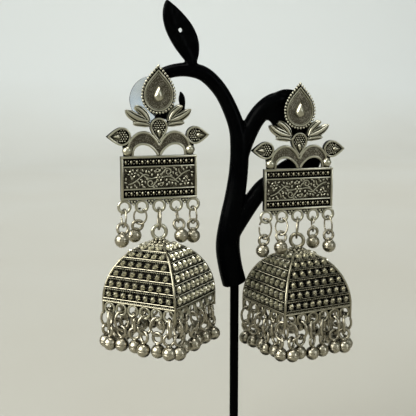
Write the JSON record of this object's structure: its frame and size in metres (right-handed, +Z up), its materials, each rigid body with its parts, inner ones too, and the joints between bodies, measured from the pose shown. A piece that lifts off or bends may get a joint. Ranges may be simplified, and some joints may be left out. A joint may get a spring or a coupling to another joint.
{
  "type": "pair of jhumka earrings on a tree-shaped display stand",
  "caption": "Drop earrings with a cast stud plate, a hollow square bell dome and bead fringes, hung by their posts from the leaf-ended branches of a free-standing tree display.",
  "frame": {"origin": "centre of the round base's underside, where the stand rests on a table", "axes": "+Z up along the pole, -Y the way the earrings face, +X to the right seen from the front"},
  "size_m": [0.086, 0.062, 0.1624],
  "materials": {
    "oxidised_silver": "antique silver-tone cast metal, dark in its recesses",
    "bright_bead": "polished silver-tone plating",
    "black_resin": "satin to gloss",
    "black_steel": "satin black paint",
    "clear_plastic": "clear moulded plastic"
  },
  "bodies": {
    "display": {"stand_base": "black_resin", "stand_pole": "black_steel", "stand_tree": "black_resin", "left_stud_plate": "oxidised_silver", "left_ear_back": "clear_plastic", "left_plate_ring_1": "bright_bead", "left_plate_bead_1": "bright_bead", "left_plate_ring_2": "bright_bead", "left_plate_bead_2": "bright_bead", "left_plate_ring_3": "bright_bead", "left_plate_bead_3": "bright_bead", "left_plate_ring_4": "bright_bead", "left_plate_bead_4": "bright_bead", "right_stud_plate": "oxidised_silver", "right_ear_back": "clear_plastic", "right_plate_ring_1": "bright_bead", "right_plate_bead_1": "bright_bead", "right_plate_ring_2": "bright_bead", "right_plate_bead_2": "bright_bead", "right_plate_ring_3": "bright_bead", "right_plate_bead_3": "bright_bead", "right_plate_ring_4": "bright_bead", "right_plate_bead_4": "bright_bead"},
    "left_dome_ring": {"left_dome_ring": "bright_bead"},
    "left_dome": {"left_dome": "oxidised_silver", "left_rim_drops_front": "bright_bead", "left_rim_drops_back": "bright_bead"},
    "right_dome_ring": {"right_dome_ring": "bright_bead"},
    "right_dome": {"right_dome": "oxidised_silver", "right_rim_drops_front": "bright_bead", "right_rim_drops_back": "bright_bead"}
  },
  "joints": [
    {"name": "left_ring_swing", "type": "hinge", "parent": "display", "child": "left_dome_ring", "pos_m": [-0.0275, -0.0046, 0.095], "axis": [1, 0, 0], "range_deg": [-7, 7]},
    {"name": "left_dome_swing", "type": "hinge", "parent": "left_dome_ring", "child": "left_dome", "pos_m": [-0.0275, -0.0046, 0.08915], "axis": [0, 1, 0], "range_deg": [-6, 8]},
    {"name": "right_ring_swing", "type": "hinge", "parent": "display", "child": "right_dome_ring", "pos_m": [0.021, -0.0046, 0.0893], "axis": [1, 0, 0], "range_deg": [-7, 7]},
    {"name": "right_dome_swing", "type": "hinge", "parent": "right_dome_ring", "child": "right_dome", "pos_m": [0.021, -0.0046, 0.08345], "axis": [0.5592, 0.829, 0], "range_deg": [-10, 1]}
  ]
}
